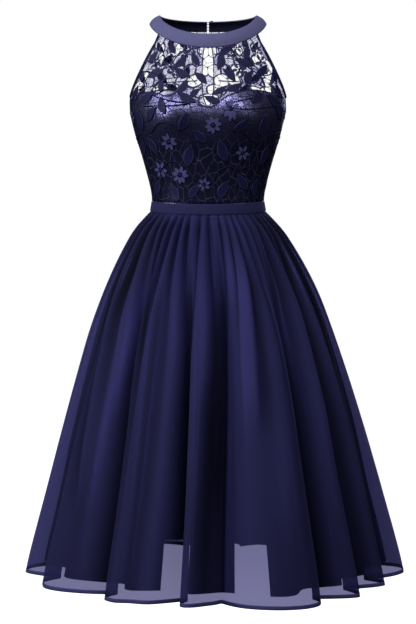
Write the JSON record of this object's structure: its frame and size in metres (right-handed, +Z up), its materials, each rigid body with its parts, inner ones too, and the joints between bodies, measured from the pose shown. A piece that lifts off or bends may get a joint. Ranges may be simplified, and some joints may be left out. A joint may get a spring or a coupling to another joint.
{
  "type": "cocktail dress",
  "caption": "Knee-length halter-neck dress: lace bodice over a sweetheart lining, plain waistband, gathered chiffon skirt; open at neck, armholes, back keyhole and hem.",
  "frame": {"origin": "the middle of the neck, level with the middle of the collar at the sides, where the wearer's neck holds the dress", "axes": "+Z up, towards the collar; -Y the front of the dress; +X the wearer's left"},
  "size_m": [0.7229, 0.6554, 1.0965],
  "materials": {
    "collar_chiffon": "fine matte chiffon weave, lavender navy",
    "band_chiffon": "fine matte chiffon weave, dark navy",
    "lace_thread": "cord and net lace, dark navy",
    "satin_lining": "smooth satin with a soft sheen, dark navy",
    "skirt_chiffon": "sheer gathered chiffon, dark navy",
    "covered_button": "chiffon drawn over a small domed button",
    "zip_metal": "navy enamel on metal"
  },
  "bodies": {
    "root": {"collar": "collar_chiffon", "bodice_front_lace": "lace_thread", "bodice_back_lace_left": "lace_thread", "bodice_back_lace_right": "lace_thread", "bodice_lining_front": "satin_lining", "bodice_lining_back_left": "satin_lining", "bodice_lining_back_right": "satin_lining", "armhole_binding_left": "band_chiffon", "armhole_binding_right": "band_chiffon", "keyhole_binding_left": "band_chiffon", "keyhole_binding_right": "band_chiffon", "waistband": "band_chiffon", "skirt_front": "skirt_chiffon", "skirt_back_left": "skirt_chiffon", "skirt_back_right": "skirt_chiffon", "skirt_lining_front": "satin_lining", "skirt_lining_back_left": "satin_lining", "skirt_lining_back_right": "satin_lining", "button_upper": "covered_button", "button_lower": "covered_button", "loop_upper": "band_chiffon", "loop_lower": "band_chiffon", "zip_tape": "band_chiffon", "zip_slider": "zip_metal"},
    "zip_tab": {"zip_tab": "zip_metal"}
  },
  "joints": [
    {"name": "zip_tab", "type": "hinge", "parent": "root", "child": "zip_tab", "pos_m": [0, 0.10041, -0.1683], "axis": [1, 0, 0], "range_deg": [0, 170]}
  ]
}
